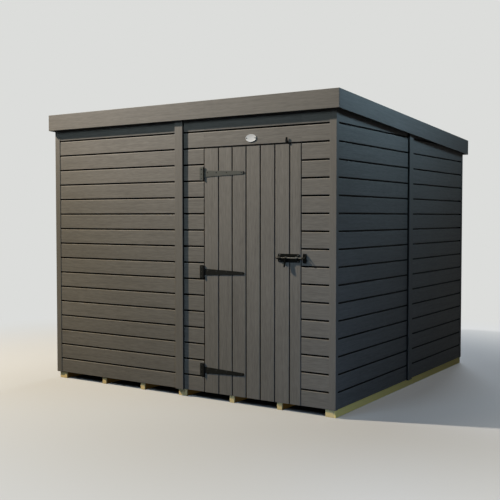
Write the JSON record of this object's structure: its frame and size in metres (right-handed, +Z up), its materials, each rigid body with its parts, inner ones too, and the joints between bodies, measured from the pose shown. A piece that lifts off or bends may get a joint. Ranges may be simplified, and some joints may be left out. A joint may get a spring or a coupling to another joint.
{
  "type": "composite pent shed",
  "caption": "Rectangular garden shed clad in grey composite boards, with a shallow single-slope roof, timber bearers and floor, and a board door on strap hinges with a sliding bolt.",
  "frame": {"origin": "centre of the footprint, on the ground under the bearers", "axes": "+Z up, -Y towards the front with the door, +X to the right of a person facing the front"},
  "size_m": [2.508, 2.43, 2.04],
  "materials": {
    "wall_boards": "embossed wood-plastic composite, warm grey",
    "door_boards": "embossed wood-plastic composite, warm grey",
    "trims": "plain wood-plastic composite",
    "fascias": "embossed wood-plastic composite",
    "ground_timber": "pressure treated softwood, green-yellow",
    "sawn_timber": "planed softwood",
    "floor_board": "tongued floor boards",
    "roof_board": "strand board",
    "roof_membrane": "rubber roof membrane",
    "black_steel": "black powder coat, satin"
  },
  "bodies": {
    "shed": {"front_wall_left": "wall_boards", "front_wall_beside_hinges": "wall_boards", "front_wall_over_door": "wall_boards", "front_wall_beside_bolt": "wall_boards", "right_wall_front": "wall_boards", "right_wall_back": "wall_boards", "left_wall_front": "wall_boards", "left_wall_back": "wall_boards", "back_wall_left": "wall_boards", "back_wall_right": "wall_boards", "front_batten": "trims", "back_batten": "trims", "right_batten": "trims", "left_batten": "trims", "corner_trim_front_right": "trims", "corner_trim_front_left": "trims", "corner_trim_back_right": "trims", "corner_trim_back_left": "trims", "fascia_front": "fascias", "fascia_back": "fascias", "fascia_right": "fascias", "fascia_left": "fascias", "bearers": "ground_timber", "sole_plates": "sawn_timber", "top_plates": "sawn_timber", "front_studs": "sawn_timber", "right_studs": "sawn_timber", "left_studs": "sawn_timber", "back_studs": "sawn_timber", "door_head": "sawn_timber", "rafters": "sawn_timber", "floor_left": "floor_board", "floor_right": "floor_board", "roof_deck": "roof_board", "roof_covering": "roof_membrane", "hinge_plates": "black_steel", "bolt_keep": "black_steel"},
    "door": {"door_panel": "door_boards", "door_ledge_bottom": "sawn_timber", "door_ledge_middle": "sawn_timber", "door_ledge_top": "sawn_timber", "door_brace_lower": "sawn_timber", "door_brace_upper": "sawn_timber", "hinge_straps": "black_steel", "bolt_plate": "black_steel"},
    "bolt": {"bolt_shaft": "black_steel"},
    "lever": {"bolt_lever": "black_steel"},
    "button": {"turn_button": "black_steel"}
  },
  "joints": [
    {"name": "door_hinge", "type": "hinge", "parent": "shed", "child": "door", "pos_m": [0.208, -1.1818, 0.873], "axis": [0, 0, -1], "range_deg": [0, 165]},
    {"name": "bolt_slide", "type": "slide", "parent": "door", "child": "bolt", "axis": [1, 0, 0], "range_m": [-0.03, 0.012]},
    {"name": "lever_turn", "type": "hinge", "parent": "bolt", "child": "lever", "pos_m": [0.864, -1.1905, 0.99128], "axis": [-1, 0, 0], "range_deg": [0, 150]},
    {"name": "button_turn", "type": "hinge", "parent": "shed", "child": "button", "pos_m": [0.865, -1.177, 1.735], "axis": [0, 1, 0], "range_deg": [0, 180]}
  ]
}
